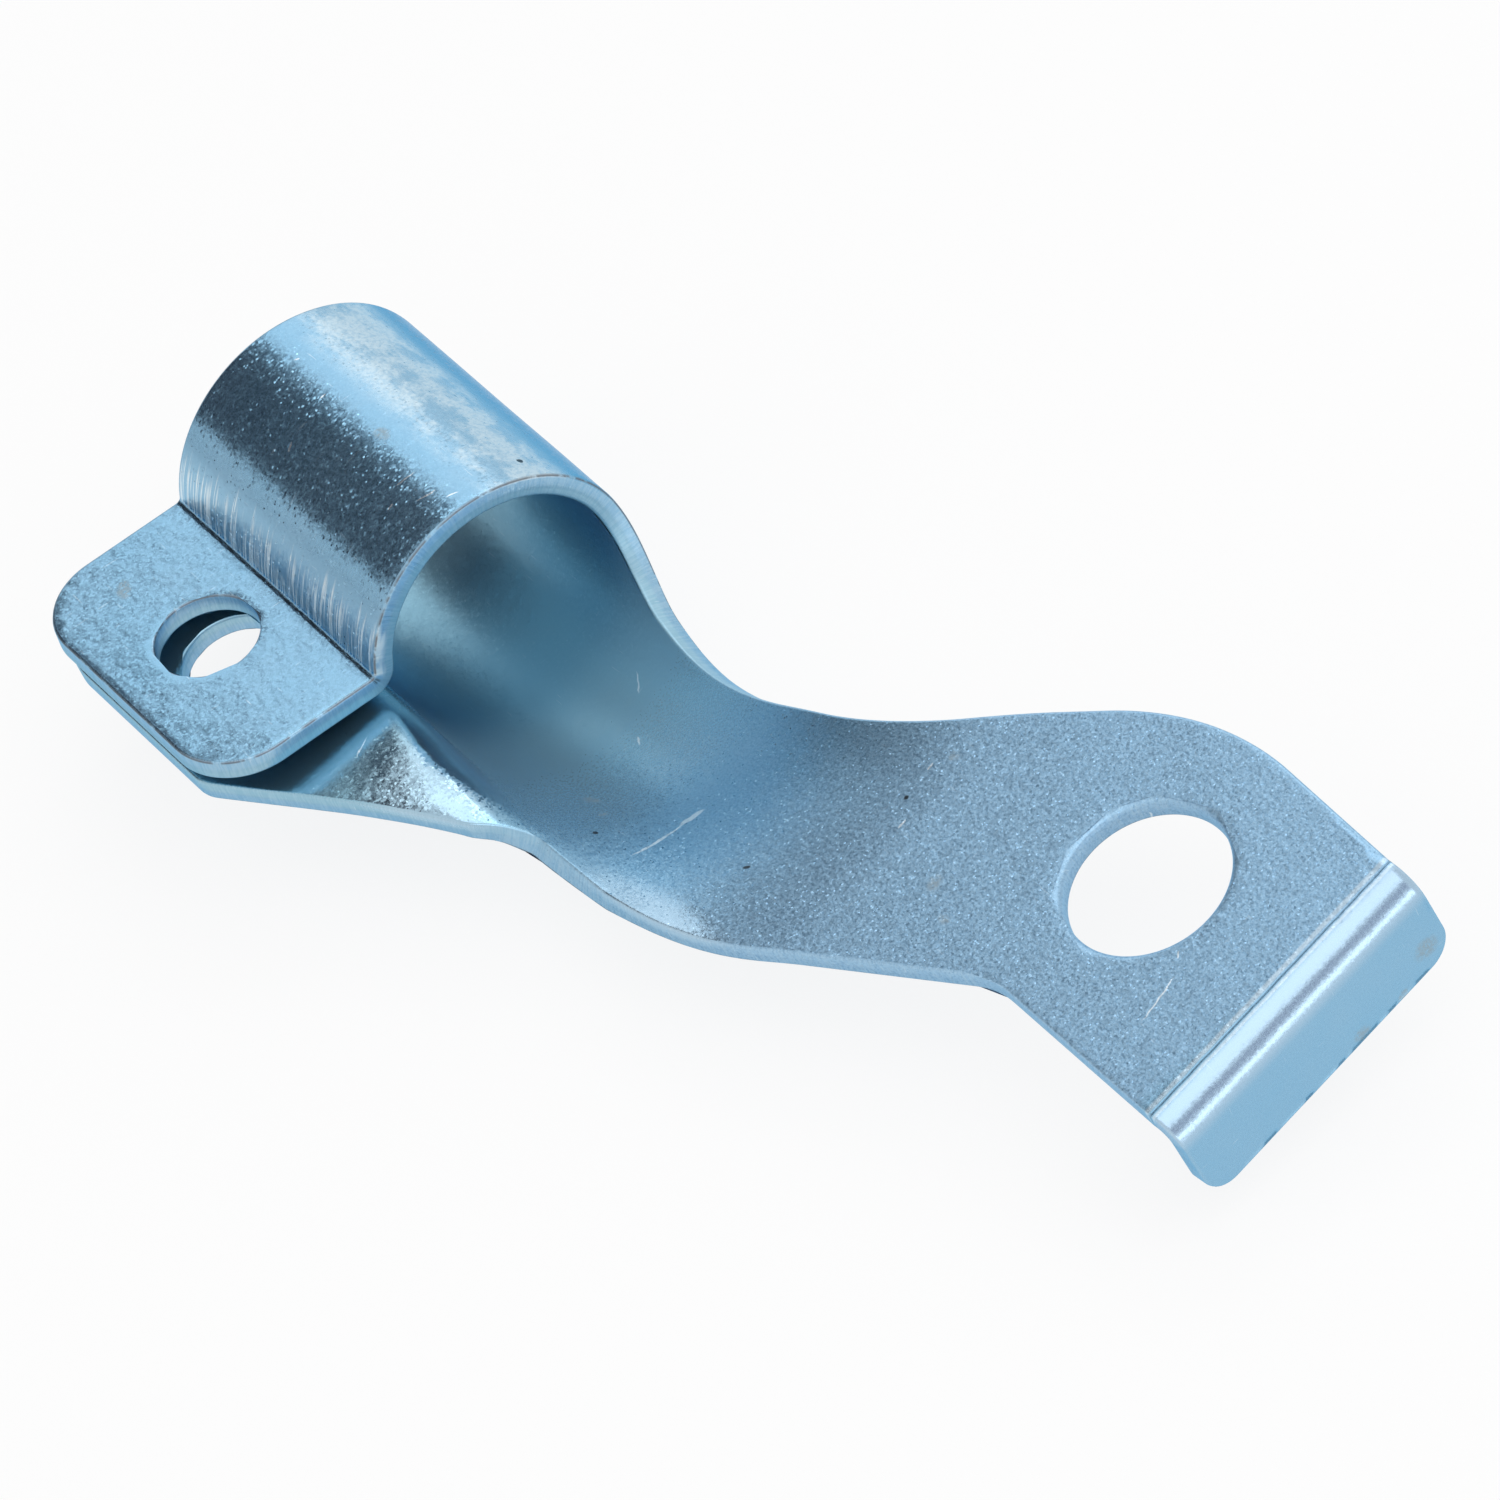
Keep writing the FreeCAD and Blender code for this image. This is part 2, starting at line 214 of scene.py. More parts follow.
# The folding: every place in the blank, at its depth in the sheet, goes to its place on the
# clamp. Depth 0 is the hose side of the round and the top of the arm; 1.5 is the other face.
def band_place(s):
    # Point on the hose side and its direction out of the sheet, in the section across the hose
    if s > s_crease:
        return upper_y - (s - s_crease), -thick, 0.0, -1.0
    if s > s_arch:
        angle = upper_turn - math.pi - (s - s_arch) / upper_outer
        return (upper_y + upper_outer * math.cos(angle),
                upper_inner + upper_outer * math.sin(angle), math.cos(angle), math.sin(angle))
    if s > s_touch:
        angle = s / bore - math.pi / 2
        return (axis_y + bore * math.cos(angle), axis_z + bore * math.sin(angle),
                -math.cos(angle), -math.sin(angle))
    if s > s_fold:
        angle = lower_end + (s_touch - s) / lower_outer
        return (lower_y + lower_outer * math.cos(angle), lower_z + lower_outer * math.sin(angle),
                math.cos(angle), math.sin(angle))
    return (fold_y + (s - s_fold) * math.cos(spring), fold_z + (s - s_fold) * math.sin(spring),
            -math.sin(spring), math.cos(spring))


# The arm's flat is twisted and lies beside the bore's axis, a little under it
twist = math.radians(10.2)
arm_beside = 1.7
arm_under = 1.0
arm_across = Vector((0, math.cos(twist), math.sin(twist)))
arm_up = Vector((0, -math.sin(twist), math.cos(twist)))
arm_foot = Vector((0, axis_y + arm_beside, axis_z + arm_beside * math.tan(twist) - arm_under))


def arm_place(x, s):
    return arm_foot + Vector((x, 0, 0)) + arm_across * s


# The frame's origin is the middle of the pad's hole
pad_middle = arm_place(pad_x, pad_s)

# Past the round the press eases every bend over ease_run, by taking each place from its
# neighbours up to three ease_most away; it lets go of the lower tab a little later
ease_most = 0.85
ease_run = 7.0
late_run = 3.2


def folded(x, s, depth):
    past = Vector((x, s)) - bend_left
    out = past.dot(bend_out)
    if out > 0:
        foot = bend_left + bend_line * past.dot(bend_line)
        foot = arm_place(foot.x, foot.y)
        away = Vector((bend_out.x, 0, 0)) + arm_across * bend_out.y
        angle = min(out, lip_quarter) / lip_outer
        radius = lip_outer - depth
        return (foot + away * (radius * math.sin(angle))
                - arm_up * (lip_outer - radius * math.cos(angle) + max(0, out - lip_quarter)))
    if x > flat_x:
        return arm_place(x, s) - arm_up * depth
    if x <= band:
        y, z, out_y, out_z = band_place(s)
        return Vector((x, y - out_y * depth, z - out_z * depth))
    gone = min(1.0, (x - band) / ease_run)
    ease = ease_most * gone * gone * (3 - 2 * gone)
    near = [(weight, band_place(s + step * ease)) for step, weight in
            ((-3, 1), (-2, 3), (-1, 5), (0, 6), (1, 5), (2, 3), (3, 1))]
    y, z, out_y, out_z = (sum(weight * place[i] for weight, place in near) / 24 for i in range(4))
    start = Vector((x, y, z))
    late = late_run * min(1.0, max(0.0, (s_fold + 4.0 - s) / 5.0))
    q = max(0.0, (x - band - late) / (flatten - late))
    share = q * q * (3 - 2 * q)
    rise = arm_place(0, s) - Vector((0, y, z))
    across = Vector((0, out_z, -out_y))
    across += (arm_across - across) * share
    up = (Vector((1, 0, 0)) + rise * (6 * q * (1 - q) / flatten)).cross(across).normalized()
    return start + rise * share - up * depth


# Lines across the blank where the mesh has its points, closer together round the folds
def spaced(start, end, step):
    count = max(1, round((end - start) / step))
    return [start + (end - start) * i / count for i in range(count)]


s_lines = spaced(s_lower_end, s_fold, 0.6) + spaced(s_fold, s_touch, 0.22) \
    + spaced(s_touch, s_arch, 0.42) + spaced(s_arch, s_crease, 0.2) \
    + spaced(s_crease, s_upper_end, 0.6)
x_lines = spaced(0.5, flat_x, 0.6) + spaced(flat_x, lip_x + 2.0, 0.7)
lip_lines = spaced(-0.2, lip_quarter, 0.24) + spaced(lip_quarter, lip_length, 0.6)

# Section through a sheared edge: (how far in from the outline, depth)
edge_section = [(0.24, 0.0), (0.13, 0.012), (0.045, 0.07), (0.0, 0.2), (0.0, 0.75), (0.0, 1.3),
                (0.04, 1.42), (0.12, 1.485), (0.24, 1.5)]
# The pad's hole was punched from above with a worn punch, which drew its rim down
drawn_section = [(0.62, 0.0), (0.46, 0.018), (0.3, 0.06), (0.16, 0.13), (0.06, 0.24),
                 (0.01, 0.38), (0.0, 0.5), (0.0, 1.3), (0.04, 1.42), (0.12, 1.485), (0.62, 1.5)]
sections = [edge_section, edge_section, edge_section, drawn_section]
# The faces' own points keep this far from a cut's first ring
clear = 0.2


def cut_across(x):
    # Where the line across the strip at x crosses the outline
    return [a.y + (b.y - a.y) * (x - a.x) / (b.x - a.x)
            for (a, _), (b, _) in zip(outline, outline[1:] + outline[:1])
            if (a.x > x) != (b.x > x)]


def within(s, crossings):
    return sum(crossing < s for crossing in crossings) % 2 == 1


# The outline's points by square millimetre, to find the near ones quickly
cells = {}
for place, _ in outline:
    cells.setdefault((int(place.x // 1), int(place.y // 1)), []).append(place)


def off_outline(x, s):
    cx, cy = int(x // 1), int(s // 1)
    for i in (-1, 0, 1):
        for j in (-1, 0, 1):
            for place in cells.get((cx + i, cy + j), ()):
                if (place.x - x) ** 2 + (place.y - s) ** 2 < (edge_section[0][0] + clear) ** 2:
                    return False
    return all((x - hx) ** 2 + (s - hs) ** 2 > (radius + section[0][0] + clear) ** 2
               for (hx, hs, radius), section in zip(holes, sections[1:]))


loops = [outline] + [punched(*hole) for hole in holes]
points = []
ties = []
for loop, section in zip(loops, sections):
    first = len(points)
    points += [place - outward * section[0][0] for place, outward in loop]
    ties += [(first + i, first + (i + 1) % len(loop)) for i in range(len(loop))]
rim_count = len(points)
for x in x_lines:
    crossings = cut_across(x)
    for s in s_lines:
        past = (Vector((x, s)) - bend_left).dot(bend_out)
        if past < -0.35 and within(s, crossings) and off_outline(x, s):
            points.append(Vector((x, s)))
lip_width = (bend_right - bend_left).length
for out in lip_lines:
    for v in spaced(0.3, lip_width, 0.6):
        place = bend_left + bend_out * out + bend_line * v
        if within(place.y, cut_across(place.x)) and off_outline(*place):
            points.append(place)
net = delaunay_2d_cdt(points, ties, [], 0, 1e-5)
home = [origins[0] if origins else -1 for origins in net[3]]
triangles = []
for corner in net[2]:
    # Only a triangle with all its corners on the cuts can lie outside the steel
    corner = [home[i] for i in corner]
    middle = (points[corner[0]] + points[corner[1]] + points[corner[2]]) / 3
    if max(corner) >= rim_count or within(middle.y, cut_across(middle.x)) and not any(
            (middle.x - hx) ** 2 + (middle.y - hs) ** 2 < radius ** 2 for hx, hs, radius in holes):
        triangles.append(corner)

# Both faces, and the rounded sheared edge between them all the way round. A cut place is how
# far round the cut it is, how deep, and whether it is on the cut at all.
blank_places = [(p.x, p.y, 0.0) for p in points] + [(p.x, p.y, thick) for p in points]
cut_places = [(0.0, 0.0, 0.0)] * len(blank_places)
faces = triangles + [[i + len(points) for i in reversed(t)] for t in triangles]
first = 0
for loop, section in zip(loops, sections):
    rings = [list(range(first, first + len(loop)))]
    round_cut = [0.0]
    for (here, _), (ahead, _) in zip(loop, loop[1:]):
        round_cut.append(round_cut[-1] + (ahead - here).length)
    for ring in (rings[0], [i + len(points) for i in rings[0]]):
        for i, run_of_cut in zip(ring, round_cut):
            cut_places[i] = (run_of_cut, blank_places[i][2], 0.0)
    for inset, depth in section[1:-1]:
        rings.append(list(range(len(blank_places), len(blank_places) + len(loop))))
        blank_places += [((p - o * inset).x, (p - o * inset).y, depth) for p, o in loop]
        cut_places += [(run_of_cut, depth, 1.0 if inset < 0.1 else 0.45)
                       for run_of_cut in round_cut]
    rings.append([i + len(points) for i in rings[0]])
    for upper, lower in zip(rings, rings[1:]):
        for i in range(len(loop)):
            j = (i + 1) % len(loop)
            faces.append([upper[j], upper[i], lower[i], lower[j]])
    first += len(loop)


# Press marks: steel formed in a press is never quite even, so the sheet swells and sinks by a
# few hundredths of a millimetre, most where the round is opened out into the arm. The arm's left
# edge keeps a little of the gusset's fold.
def uneven(x, s):
    turned_up = 0.048 * max(0.0, -7.3 - s) ** 2 * max(0.0, 1 - ((x - 54.0) / 8) ** 2)
    formed = math.exp(-((x - band - 14) / 12) ** 2)
    swell = noise.noise(Vector((x / 8, s / 6, 3.1))) * (0.02 + 0.07 * formed)
    ripple = noise.noise(Vector((x / 2.4, s / 2.0, 8.7))) * (0.004 + 0.012 * formed)
    return turned_up + swell + ripple


mesh = bpy.data.meshes.new("clamp_sheet")
mesh.from_pydata([(folded(x, s, depth - uneven(x, s)) - pad_middle) * 0.001
                  for x, s, depth in blank_places], [], faces)
mesh.update()
for title, rows in (("blank", blank_places), ("cut", cut_places)):
    layer = mesh.attributes.new(title, "FLOAT_VECTOR", "POINT")
    layer.data.foreach_set("vector", [c for row in rows for c in row])
for polygon in mesh.polygons:
    polygon.use_smooth = True
clamp = bpy.data.objects.new("clamp_sheet", mesh)
bpy.context.scene.collection.objects.link(clamp)


# Zinc finish: the folded clamp is barrel-plated with bright zinc and dipped in a blue
# passivation. The plate follows the steel's own grain, so every mark of the press shows in it.
# Its marks are laid out on the flat blank: x along the hose, s across the strip, depth.
zinc = bpy.data.materials.new("blue_zinc")
zinc.use_nodes = True
finish = zinc.node_tree
shader = finish.nodes["Principled BSDF"]


def joined(node, values):
    for socket, value in values.items():
        if isinstance(value, bpy.types.NodeSocket):
            finish.links.new(value, node.inputs[socket])
        else:
            node.inputs[socket].default_value = value
    return node


def worked(kind, *values, clamp=False):
    node = finish.nodes.new("ShaderNodeMath")
    node.operation = kind
    node.use_clamp = clamp
    return joined(node, dict(enumerate(values))).outputs[0]


def moved(kind, *values, out="Vector"):
    node = finish.nodes.new("ShaderNodeVectorMath")
    node.operation = kind
    return joined(node, dict(enumerate(values))).outputs[out]


def shared(*masks):
    # Only where every one of the masks is
    total = masks[0]
    for extra in masks[1:]:
        total = worked("MULTIPLY", total, extra)
    return total


def most(masks):
    # Where any one of the masks is
    total = masks[0]
    for extra in masks[1:]:
        total = worked("MAXIMUM", total, extra)
    return total


def spared(value, mask, share):
    # The value, with that share of it taken away where the mask is
    return shared(value, worked("SUBTRACT", 1.0, shared(mask, share)))


def ramped(value, low, high, start=0.0, end=1.0):
    # Smooth step of the value from low to high
    node = finish.nodes.new("ShaderNodeMapRange")
    node.interpolation_type = "SMOOTHSTEP"
    return joined(node, {0: value, 1: low, 2: high, 3: start, 4: end}).outputs[0]


def grain(place, scale, detail=2.0, rough=0.5):
    node = finish.nodes.new("ShaderNodeTexNoise")
    joined(node, {"Vector": place, "Scale": scale, "Detail": detail, "Roughness": rough})
    return node.outputs["Fac"]


def stretched(place, by, detail=2.0, rough=0.5):
    # Grain drawn out along the sheet: by is how many grains a millimetre in x, s and depth
    return grain(moved("MULTIPLY", place, by), 1.0, detail, rough)


def tinted(share, plain, marked):
    node = finish.nodes.new("ShaderNodeMix")
    node.data_type = "RGBA"
    joined(node, {"Factor": share})
    for socket, colour in zip((node.inputs[6], node.inputs[7]), (plain, marked)):
        if isinstance(colour, bpy.types.NodeSocket):
            finish.links.new(colour, socket)
        else:
            socket.default_value = (*colour, 1.0)
    return node.outputs[2]


def mark(place, middle, size, turn=0.0):
    # A patch, 1 in the middle and 0 at its edge: middle and half sizes in millimetres along
    # x, s and depth, turned in the sheet by so many degrees
    node = finish.nodes.new("ShaderNodeMapping")
    node.vector_type = "TEXTURE"
    joined(node, {"Vector": place, "Location": middle, "Scale": size})
    node.inputs["Rotation"].default_value = (0, 0, math.radians(turn))
    patch = finish.nodes.new("ShaderNodeTexGradient")
    patch.gradient_type = "SPHERICAL"
    finish.links.new(node.outputs[0], patch.inputs[0])
    return patch.outputs["Fac"]


def carried(title):
    node = finish.nodes.new("ShaderNodeAttribute")
    node.attribute_name = title
    return node.outputs["Vector"]


def parts(vector):
    node = finish.nodes.new("ShaderNodeSeparateXYZ")
    finish.links.new(vector, node.inputs[0])
    return node.outputs


flat = carried("blank")
along_x, across_s, deep = parts(flat)
_, down_cut, on_cut = parts(carried("cut"))
outside = ramped(deep, 0.5, 1.0)
hose_side = worked("SUBTRACT", 1.0, outside)
on_round = shared(worked("LESS_THAN", along_x, band), worked("LESS_THAN", across_s, s_arch),
                  worked("GREATER_THAN", across_s, s_touch))
on_bore = shared(hose_side, ramped(along_x, 44, 28))
on_tab = ramped(across_s, s_crease - 0.5, s_crease + 0.5)
on_lip = ramped(along_x, 86.5, 88.0)


def graded(round_value, arm_value):
    # From the round's value to the arm's, changing over the formed passage
    return ramped(along_x, 34, 48, round_value, arm_value)


# Colour of the plate, a little cloudy where the passivation lies thicker, greener in the bore
# and paler on the arm. Its grain shows most on the arm, and least in the bore, on tab and lip.
clouds = grain(flat, 0.16, 3.0, 0.6)
plate = tinted(clouds, (0.245, 0.490, 0.690), (0.305, 0.515, 0.690))
plate = tinted(on_bore, plate, (0.29, 0.515, 0.64))
on_arm = shared(ramped(along_x, 44, 58, 0, 0.85), ramped(along_x, 88, 86.5))
plate = tinted(on_arm, plate, (0.345, 0.555, 0.755))
calm = most([on_bore, on_tab, on_lip])
lively = shared(spared(1.0, calm, 0.75), graded(0.16, 0.50))
fine = grain(flat, 5.0, 3.0, 0.65)
plate = tinted(shared(ramped(fine, 0.54, 0.38), lively), plate, (0.14, 0.29, 0.47))
specks = grain(flat, 8.0, 4.0, 0.8)
plate = tinted(shared(ramped(specks, 0.52, 0.66), lively), plate, (0.60, 0.82, 0.96))

# Crystals of the plate: each tips the light its own way, and a few of them flash
flake = finish.nodes.new("ShaderNodeTexVoronoi")
joined(flake, {"Vector": flat, "Scale": 6.4, "Randomness": 1.0})
tip = moved("SUBTRACT", flake.outputs["Color"], (0.5, 0.5, 0.5))
pick = parts(flake.outputs["Color"])[1]
flash = shared(worked("GREATER_THAN", pick, 0.93), ramped(flake.outputs["Distance"], 0.48, 0.30))
flash = spared(flash, calm, 0.85)
few_tip_far = shared(graded(2.2, 0.4), worked("POWER", pick, 3.0))
tilt = shared(graded(0.075, 0.10), worked("ADD", graded(0.55, 0.9), few_tip_far))
tilt = spared(spared(tilt, calm, 0.62), on_cut, 0.4)
tilt = worked("ADD", tilt, shared(flash, graded(0.24, 0.22)))

# Painted highlight: a pale sheen painted along the top of the round's outside. Painted shade: a
# deeper blue painted on the round's right flank
painted_sheen = shared(ramped(mark(flat, (band / 2, 22.5, thick), (90.0, 3.7, 1.0)), 0.0, 0.6), on_round)
mottle = grain(flat, 3.4, 5.0, 0.75)
smear = stretched(flat, (0.34, 0.7, 1.0), 3.0, 0.6)
painted_sheen = shared(painted_sheen, ramped(smear, 0.36, 0.58, 0.25, 1.25))
painted_sheen = worked("MULTIPLY", painted_sheen, ramped(mottle, 0.36, 0.62, 0.45, 0.95), clamp=True)
plate = tinted(painted_sheen, plate, (0.60, 0.75, 0.84))
# Painted shade: the round's right flank is painted a deeper blue
painted_flank_shade = shared(ramped(across_s, 21.0, 18.5), on_round, outside, ramped(across_s, 9.0, 13.0))
plate = tinted(painted_flank_shade, plate, (0.13, 0.37, 0.58))

# Burnished places, where the tools pressed hardest: the gusset and the arm's left edge. Their
# paler colour is a painted highlight
burnished_and_painted_highlight = most([
    mark(flat, (32.0, -16.0, 0.0), (8.0, 6.0, 0.9), -20),
    mark(flat, (50.5, -9.8, 0.0), (9.0, 3.4, 0.9), 4),
])
plate = tinted(shared(ramped(burnished_and_painted_highlight, 0.0, 0.7), 0.60), plate, (0.47, 0.62, 0.74))

# Upper fold: the sheet is bent hard against the tool's corner. Painted shade: a dark line in the
# crease. Painted reflection: the wall above it painted pale. The tool also drags bright streaks
# down the wall
painted_crease_shade = shared(mark(flat, (band / 2, (s_crease + s_arch) / 2 + 0.35, thick),
                     (400.0, 0.75, 1.0)), outside)
dots = stretched(flat, (3.4, 2.2, 1.0), 3.0, 0.7)
painted_crease_shade = shared(ramped(painted_crease_shade, 0.0, 0.55), ramped(dots, 0.38, 0.56))
plate = tinted(shared(painted_crease_shade, 0.85), plate, (0.045, 0.065, 0.085))
# Painted reflection: the wall above the crease is painted pale
wall_with_painted_reflection = shared(on_round, outside, ramped(across_s, s_arch - 6.0, s_arch - 1.5))
plate = tinted(shared(wall_with_painted_reflection, 0.60), plate, (0.42, 0.64, 0.78))
streaks = stretched(flat, (6.5, 0.16, 1.0), 2.0, 0.6)
reach = stretched(flat, (1.3, 0.0, 0.0), 2.0, 0.6)
patchy = stretched(flat, (0.5, 0.4, 1.0), 2.0, 0.6)
drag = ramped(worked("ADD", across_s, shared(reach, 5.6)), s_arch - 0.4, s_arch + 1.0)
drag = shared(drag, ramped(across_s, s_arch + 1.0, s_arch + 0.3), outside,
              ramped(streaks, 0.48, 0.58), ramped(patchy, 0.32, 0.48))
plate = tinted(shared(drag, 0.90), plate, (0.90, 0.98, 1.0))

# Scratches, pits and stains from the plating barrel, a little crooked. Each row is x, s and
# face, then half length, half width and turn in degrees.
wander = finish.nodes.new("ShaderNodeTexNoise")
joined(wander, {"Vector": flat, "Scale": 1.1, "Detail": 2.0})
crooked = moved("MULTIPLY", moved("SUBTRACT", wander.outputs["Color"], (0.5, 0.5, 0.5)),
                (0.5, 0.5, 0.0))
loose = moved("ADD", flat, crooked)
top = 0.0
far = thick


def marks(rows):
    return most([mark(loose, (x, s, face), (length, width, 0.9), turn)
                 for x, s, face, length, width, turn in rows])


scratches = marks([
    (18.4, 27.9, far, 0.72, 0.10, -86),
    (20.7, 27.8, far, 0.78, 0.10, -75),
    (22.0, 26.7, far, 0.45, 0.09, -80),
    (19.2, 29.5, far, 0.30, 0.09, -88),
    (9.1, 30.7, far, 0.34, 0.10, 66),
    (3.8, 26.8, far, 0.24, 0.09, -58),
    (8.0, 27.4, far, 0.32, 0.09, 78),
    (43.8, -4.2, top, 3.0, 0.16, 89),
    (43.75, -1.6, top, 1.2, 0.34, 86),
    (58.2, 5.2, top, 0.55, 0.12, 98),
    (56.2, 9.2, top, 0.40, 0.10, 105),
    (28.9, 5.0, top, 1.1, 0.08, -38),
    (32.9, 1.7, top, 0.6, 0.09, -33),
    (25.4, -16.9, top, 1.1, 0.08, -59),
    (82.2, 7.3, top, 2.2, 0.10, -77),
    (80.7, 10.2, top, 0.4, 0.09, -54),
    (9.0, 46.5, far, 1.4, 0.07, 24),
    (47.0, 8.0, far, 2.4, 0.10, 40),
    (70.0, 16.0, far, 1.9, 0.10, -28),
    (12.0, 4.0, far, 1.7, 0.10, 63),
])
scratches = ramped(scratches, 0.12, 0.40)
hairs = stretched(moved("ADD", flat, (40.0, 9.0, 3.0)), (0.55, 9.0, 1.0), 1.0)
hairs_over = stretched(flat, (8.0, 0.5, 1.0), 1.0)
hairs = most([ramped(hairs, 0.74, 0.80), ramped(hairs_over, 0.75, 0.81)])
plate = tinted(shared(scratches, 0.80), plate, (0.86, 0.95, 1.0))
plate = tinted(shared(hairs, 0.35), plate, (0.75, 0.88, 0.96))
pits = marks([
    (39.74, -6.77, top, 0.30, 0.30, 0),
    (51.6, -2.8, top, 0.42, 0.24, 40),
    (56.72, 6.67, top, 0.24, 0.24, 0),
    (21.54, 22.06, far, 0.34, 0.26, 0),
    (31.0, 2.0, far, 0.30, 0.30, 0),
    (66.0, 9.0, far, 0.34, 0.24, 25),
])
plate = tinted(ramped(pits, 0.15, 0.45), plate, (0.07, 0.09, 0.11))
stains = marks([
    (35.7, -4.1, top, 0.95, 0.50, 20),
    (38.0, -4.8, top, 0.55, 0.32, 80),
    (56.9, 10.6, top, 0.62, 0.50, 0),
    (63.6, 3.7, top, 0.75, 0.95, 30),
    (66.2, 2.3, top, 0.60, 0.50, 0),
    (13.9, 26.8, far, 0.85, 0.60, 0),
    (93.3, 22.0, top, 1.1, 1.3, 0),
    (95.1, 15.8, top, 0.7, 0.9, 0),
    (95.1, 19.3, top, 0.4, 0.6, 0),
    (4.0, 47.5, far, 1.2, 0.7, 30),
    (16.0, -21.0, far, 1.4, 0.9, 60),
    (58.0, 15.0, far, 1.3, 0.8, 0),
])
stains = shared(ramped(stains, 0.10, 0.60), ramped(mottle, 0.34, 0.58))
plate = tinted(shared(stains, 0.55), plate, (0.34, 0.38, 0.38))

# Lip bend: the die's edge leaves a fine dark line along the start of the bend, with a painted
# highlight line on either side of it, and rubs the bend itself pale, which also stands for a
# painted highlight. past_bend is how far a place is past the bend line, a little uneven.
past_bend = worked("SUBTRACT", moved("DOT_PRODUCT", flat, (*bend_out, 0), out="Value"),
                   bend_left.dot(bend_out))
uneven_line = shared(worked("SUBTRACT", grain(flat, 0.9, 3.0), 0.5), 0.10)
past_bend = worked("ADD", past_bend, uneven_line)


def line_at(place, half):
    return ramped(worked("ABSOLUTE", worked("SUBTRACT", past_bend, place)), half, half * 0.3)


die_dark = shared(line_at(0.24, 0.10), hose_side)
# Painted highlight: two bright glint lines along the start of the lip's bend
die_painted_glints = shared(most([line_at(-0.10, 0.26), line_at(0.52, 0.16)]), hose_side)
rubbed_and_painted_highlight = shared(ramped(past_bend, 0.3, 0.9), ramped(past_bend, 4.0, 2.6))
plate = tinted(shared(rubbed_and_painted_highlight, 0.60), plate, (0.52, 0.64, 0.76))
plate = tinted(shared(die_painted_glints, 0.50), plate, (0.78, 0.90, 0.97))
plate = tinted(shared(die_dark, 0.62), plate, (0.12, 0.22, 0.33))

# Sheared edges: polished for the first third by the punch and torn dull below it, with fine
# lines down the cut and a thin dark burr at the far face
cut_lines = stretched(carried("cut"), (6.5, 0.6, 0.0), 2.0, 0.6)
torn = shared(on_cut, ramped(down_cut, 0.45, 0.75))
burr = shared(on_cut, ramped(down_cut, 1.31, 1.43), ramped(grain(flat, 0.8, 3.0, 0.7), 0.36, 0.52))
plate = tinted(shared(on_cut, ramped(cut_lines, 0.38, 0.64, 0.10, 0.32)),
               plate, (0.58, 0.76, 0.86))
plate = tinted(shared(burr, 0.88), plate, (0.14, 0.13, 0.14))

# Height of the surface in millimetres: orange peel, the die's line and the torn cut
peel = spared(shared(grain(flat, 2.6, 3.0, 0.6), graded(0.010, 0.022)), calm, 0.6)
height = worked("ADD", peel, shared(grain(flat, 0.9, 2.0), 0.020))
height = worked("SUBTRACT", height, shared(die_dark, 0.030))
height = worked("ADD", height, shared(torn, cut_lines, 0.035))
swell = finish.nodes.new("ShaderNodeBump")
joined(swell, {"Height": height, "Distance": 0.001, "Strength": 1.0})
scaled = finish.nodes.new("ShaderNodeVectorMath")
scaled.operation = "SCALE"
joined(scaled, {0: tip, "Scale": tilt})
normal = moved("NORMALIZE", moved("ADD", swell.outputs[0], scaled.outputs[0]))

# How dull it is: the round is bright, the arm duller, and each mark adds or takes its part
dull = shared(ramped(fine, 0.30, 0.70, 0.85, 1.15), ramped(along_x, 32, 48, 0.235, 0.365))
inside = shared(hose_side, ramped(along_x, 40, 24), ramped(across_s, -14, -9))
for mask, more in (
        (wall_with_painted_reflection, 0.13),
        (ramped(burnished_and_painted_highlight, 0.0, 0.5), -0.11),
        (ramped(across_s, s_crease - 1.0, s_crease + 1.0), -0.05),
        (inside, 0.12),
        (on_lip, -0.12),
        (painted_sheen, 0.12),
        (on_cut, 0.10),
        (torn, 0.10),
        (drag, 0.12),
        (stains, 0.15),
        (flash, -0.12)):
    dull = worked("ADD", dull, shared(mask, more))
# How bare the metal looks: a little less so in the passage between round and arm, which was
# scuffed when it was formed
passage = shared(ramped(along_x, 21, 28), ramped(along_x, 48, 36), hose_side,
                 ramped(across_s, -14, -10))
bare = worked("SUBTRACT", 0.95, shared(passage, 0.30))
joined(shader, {"Base Color": plate, "Metallic": bare, "Roughness": dull, "Normal": normal,
                "Specular Tint": (0.45, 0.72, 0.92, 1.0)})
mesh.materials.append(zinc)

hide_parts("hose_clamp")
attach(clamp, "root")


# Photographer's table: a sheet of white paper, eight metres a side, which the clamp lies on. The
# camera and the metal see it as nearly plain white, with a trace of the clamp's shadow on it.
low = min(v.co.z for v in mesh.vertices)
paper_half = 4
sheet_corners = ((-1, -1), (1, -1), (1, 1), (-1, 1))
paper_mesh = bpy.data.meshes.new("paper")
paper_mesh.from_pydata([(i * paper_half, j * paper_half, low) for i, j in sheet_corners],
                       [], [(0, 1, 2, 3)])
paper = bpy.data.objects.new("paper", paper_mesh)
bpy.context.scene.collection.objects.link(paper)
white = bpy.data.materials.new("white_paper")
white.use_nodes = True
sheet_tree = white.node_tree
fibre = sheet_tree.nodes["Principled BSDF"]
fibre.inputs["Base Color"].default_value = (0.88, 0.88, 0.88, 1)
fibre.inputs["Roughness"].default_value = 0.9
fibre.inputs["Specular IOR Level"].default_value = 0.0
bright = sheet_tree.nodes.new("ShaderNodeEmission")
ray = sheet_tree.nodes.new("ShaderNodeLightPath")
seen = ray.outputs["Is Camera Ray"]
